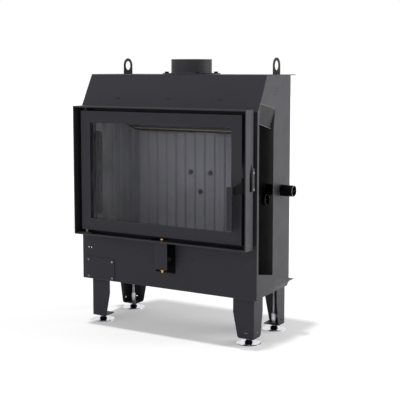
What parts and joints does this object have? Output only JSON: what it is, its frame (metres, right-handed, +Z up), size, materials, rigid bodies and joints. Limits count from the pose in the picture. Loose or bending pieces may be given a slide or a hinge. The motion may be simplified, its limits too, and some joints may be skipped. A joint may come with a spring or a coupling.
{
  "type": "fireplace insert",
  "caption": "Black steel wood-burning fireplace insert with a wide framed glass door, perforated handle, leaning hood, flue collar, lifting eyes and levelling feet.",
  "frame": {"origin": "centre of the bounding box, on the floor under the levelling feet", "axes": "+Z up along the flue, -Y towards the user in front of the door, +X to the user's right along the door"},
  "size_m": [1, 0.469, 1.1944],
  "materials": {
    "casing_black": "matt black powder-coated sheet, fine grain",
    "firebox_steel": "dark heat-proof paint on welded steel",
    "door_black": "satin black heat-proof paint",
    "stub_black": "black painted pipe",
    "liner_slab": "grey-brown ribbed firebrick slab",
    "vermiculite": "pressed vermiculite board, cream",
    "glass": "clear ceramic fire glass, slightly grey",
    "rope": "knitted glass-fibre rope, dark grey",
    "brass": "turned brass",
    "zinc": "bright zinc plated",
    "chrome": "bright plated foot and threaded rod"
  },
  "bodies": {
    "casing": {"top_plate": "casing_black", "hood_panel": "casing_black", "side_panel_left": "casing_black", "side_panel_right": "casing_black", "air_deflectors": "casing_black", "rear_shield": "firebox_steel", "floor_plate": "casing_black", "lower_panel": "casing_black", "access_cover": "casing_black", "casing_screws": "zinc", "surround_top": "casing_black", "surround_bottom": "casing_black", "surround_left": "casing_black", "surround_right": "casing_black", "front_frame": "firebox_steel", "firebox_floor": "firebox_steel", "firebox_sill": "firebox_steel", "firebox_wall_left": "firebox_steel", "firebox_wall_right": "firebox_steel", "firebox_back": "firebox_steel", "firebox_roof": "firebox_steel", "liner_back": "liner_slab", "liner_left": "liner_slab", "liner_right": "liner_slab", "liner_floor": "liner_slab", "liner_retainers": "firebox_steel", "baffle_lower": "vermiculite", "baffle_rails": "firebox_steel", "baffle_upper": "firebox_steel", "flue_collar": "firebox_steel", "flue_bolts": "firebox_steel", "lifting_eyes": "casing_black", "air_box": "firebox_steel", "inlet_collar": "firebox_steel", "rear_channel": "firebox_steel", "slide_rails": "firebox_steel", "air_stubs": "stub_black", "hinge_brackets": "casing_black", "hinge_pins": "brass", "latch_keeper": "casing_black", "lever_back_plate": "casing_black", "legs_front": "casing_black", "legs_rear": "casing_black", "foot_nuts": "zinc"},
    "door": {"door_frame": "door_black", "door_inner_frame": "firebox_steel", "door_glass": "glass", "door_seals": "rope", "glass_clips": "zinc", "door_hardware": "firebox_steel"},
    "handle": {"handle_grip": "door_black", "handle_arm": "door_black", "latch_shaft": "door_black"},
    "air_slide": {"air_lever": "casing_black", "air_slide_plate": "zinc", "lever_brass": "brass"},
    "foot_front_left": {"foot_front_left": "chrome"},
    "foot_front_right": {"foot_front_right": "chrome"},
    "foot_rear_left": {"foot_rear_left": "chrome"},
    "foot_rear_right": {"foot_rear_right": "chrome"}
  },
  "joints": [
    {"name": "door_hinge", "type": "hinge", "parent": "casing", "child": "door", "pos_m": [-0.383, -0.1755, 0.7], "axis": [0, 0, 1], "range_deg": [-100, 0]},
    {"name": "handle_turn", "type": "hinge", "parent": "door", "child": "handle", "pos_m": [0.41, -0.1765, 0.6795], "axis": [0, 0, 1], "range_deg": [0, 28]},
    {"name": "air_lever_slide", "type": "slide", "parent": "casing", "child": "air_slide", "axis": [1, 0, 0], "range_m": [-0.015, 0.045]},
    {"name": "foot_front_left_level", "type": "slide", "parent": "casing", "child": "foot_front_left", "axis": [0, 0, 1], "range_m": [-0.025, 0.01]},
    {"name": "foot_front_right_level", "type": "slide", "parent": "casing", "child": "foot_front_right", "axis": [0, 0, 1], "range_m": [-0.025, 0.01]},
    {"name": "foot_rear_left_level", "type": "slide", "parent": "casing", "child": "foot_rear_left", "axis": [0, 0, 1], "range_m": [-0.025, 0.01]},
    {"name": "foot_rear_right_level", "type": "slide", "parent": "casing", "child": "foot_rear_right", "axis": [0, 0, 1], "range_m": [-0.025, 0.01]}
  ]
}
